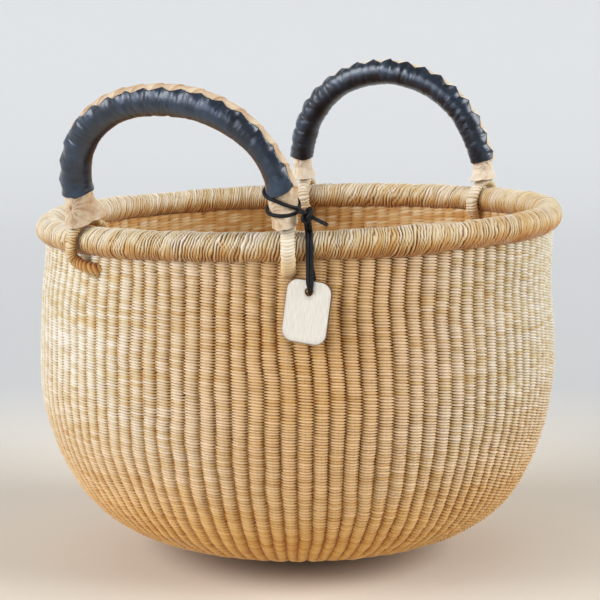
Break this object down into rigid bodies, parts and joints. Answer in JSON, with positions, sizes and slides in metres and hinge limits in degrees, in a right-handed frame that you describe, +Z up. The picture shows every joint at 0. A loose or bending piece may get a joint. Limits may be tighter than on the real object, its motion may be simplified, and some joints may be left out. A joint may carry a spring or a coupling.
{
  "type": "bolga basket",
  "caption": "Round twined straw market basket with a thick wrapped rim, swinging leather covered handles and a small wooden hang tag.",
  "frame": {"origin": "middle of the flat underside of the basket", "axes": "+Z up, -Y towards the front handle, +X to the right when the front handle is nearest"},
  "size_m": [0.4199, 0.4336, 0.3917],
  "materials": {
    "woven_straw": "dry twined elephant grass",
    "wrapped_straw": "dry wrapped elephant grass",
    "straw_bundle": "dry grass bundle",
    "navy_leather": "soft sheen goat leather",
    "tan_leather": "matte vegetable tanned leather",
    "black_cord": "waxed cord",
    "tag_wood": "smooth bare plywood"
  },
  "bodies": {
    "basket": {"woven_body": "woven_straw", "rim_core": "straw_bundle", "rim_wrap": "wrapped_straw"},
    "front_handle": {"front_handle_core": "straw_bundle", "front_handle_sleeve": "navy_leather", "front_lacing_strip": "tan_leather", "front_left_cuff": "tan_leather", "front_right_cuff": "tan_leather", "front_left_loop": "wrapped_straw", "front_right_loop": "wrapped_straw", "tag_cord_wraps": "black_cord", "tag_cord_knot": "black_cord", "tag_cord_tail": "black_cord", "tag_cord_lead": "black_cord"},
    "rear_handle": {"rear_handle_core": "straw_bundle", "rear_handle_sleeve": "navy_leather", "rear_lacing_strip": "tan_leather", "rear_left_cuff": "tan_leather", "rear_right_cuff": "tan_leather", "rear_left_loop": "wrapped_straw", "rear_right_loop": "wrapped_straw"},
    "tag": {"tag_cord_strands": "black_cord", "hang_tag": "tag_wood"}
  },
  "joints": [
    {"name": "front_handle_swing", "type": "hinge", "parent": "basket", "child": "front_handle", "pos_m": [0.00003, -0.18088, 0.26669], "axis": [0.9997, -0.0002, 0.0248], "range_deg": [-76, 78], "deforming": ["tag_cord_lead", "tag_cord_tail"]},
    {"name": "rear_handle_swing", "type": "hinge", "parent": "basket", "child": "rear_handle", "pos_m": [-0.00003, 0.18088, 0.27131], "axis": [-0.9997, 0.0002, -0.0248], "range_deg": [-57, 102]},
    {"name": "tag_swing", "type": "hinge", "parent": "basket", "child": "tag", "pos_m": [0.10111, -0.18622, 0.26913], "axis": [-0.8788, -0.4772, 0], "range_deg": [0, 60]}
  ]
}
